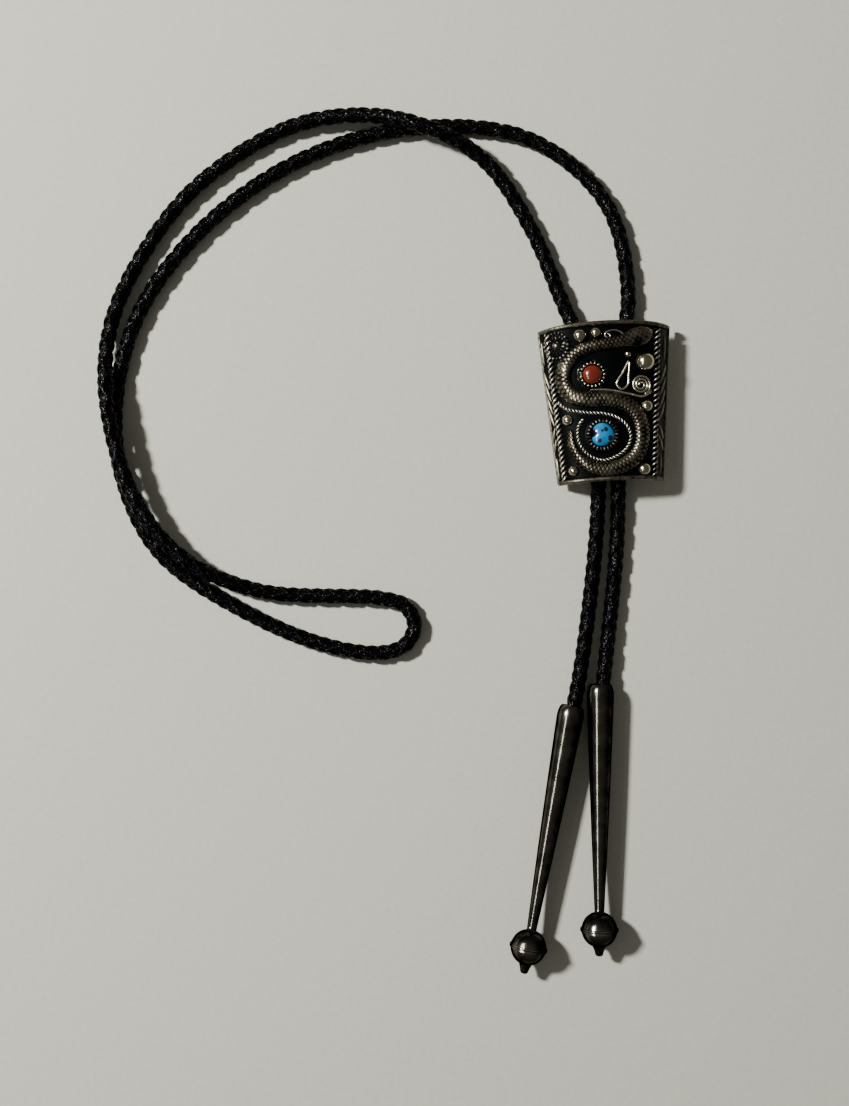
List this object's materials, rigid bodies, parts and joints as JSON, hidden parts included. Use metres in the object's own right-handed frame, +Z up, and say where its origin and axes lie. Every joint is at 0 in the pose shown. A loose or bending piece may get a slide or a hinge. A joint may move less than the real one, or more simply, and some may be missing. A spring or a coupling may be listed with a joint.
{
  "type": "bolo tie",
  "caption": "Bolo tie: braided black cord with a tapered silver slide in snake relief with coral and turquoise, and ball-ended metal tips.",
  "frame": {"origin": "on the table, under the middle of the slide, on the flat back of its clip", "axes": "+Z up out of the slide's face, +Y along the slide from the tips to the neck loop"},
  "size_m": [0.1701, 0.2585, 0.0143],
  "materials": {
    "oxidised_silver": "blackened in the recesses, rubbed bright on the relief",
    "tip_silver": "dark tarnish, polished",
    "clip_steel": "plain nickelled",
    "black_leather": "waxed, round braided",
    "coral": "polished",
    "turquoise": "polished, with dark matrix"
  },
  "bodies": {
    "root": {"slide": "oxidised_silver", "red_stone": "coral", "blue_stone": "turquoise", "back_clip": "clip_steel", "cord": "black_leather", "left_tip": "tip_silver", "right_tip": "tip_silver"}
  },
  "joints": []
}
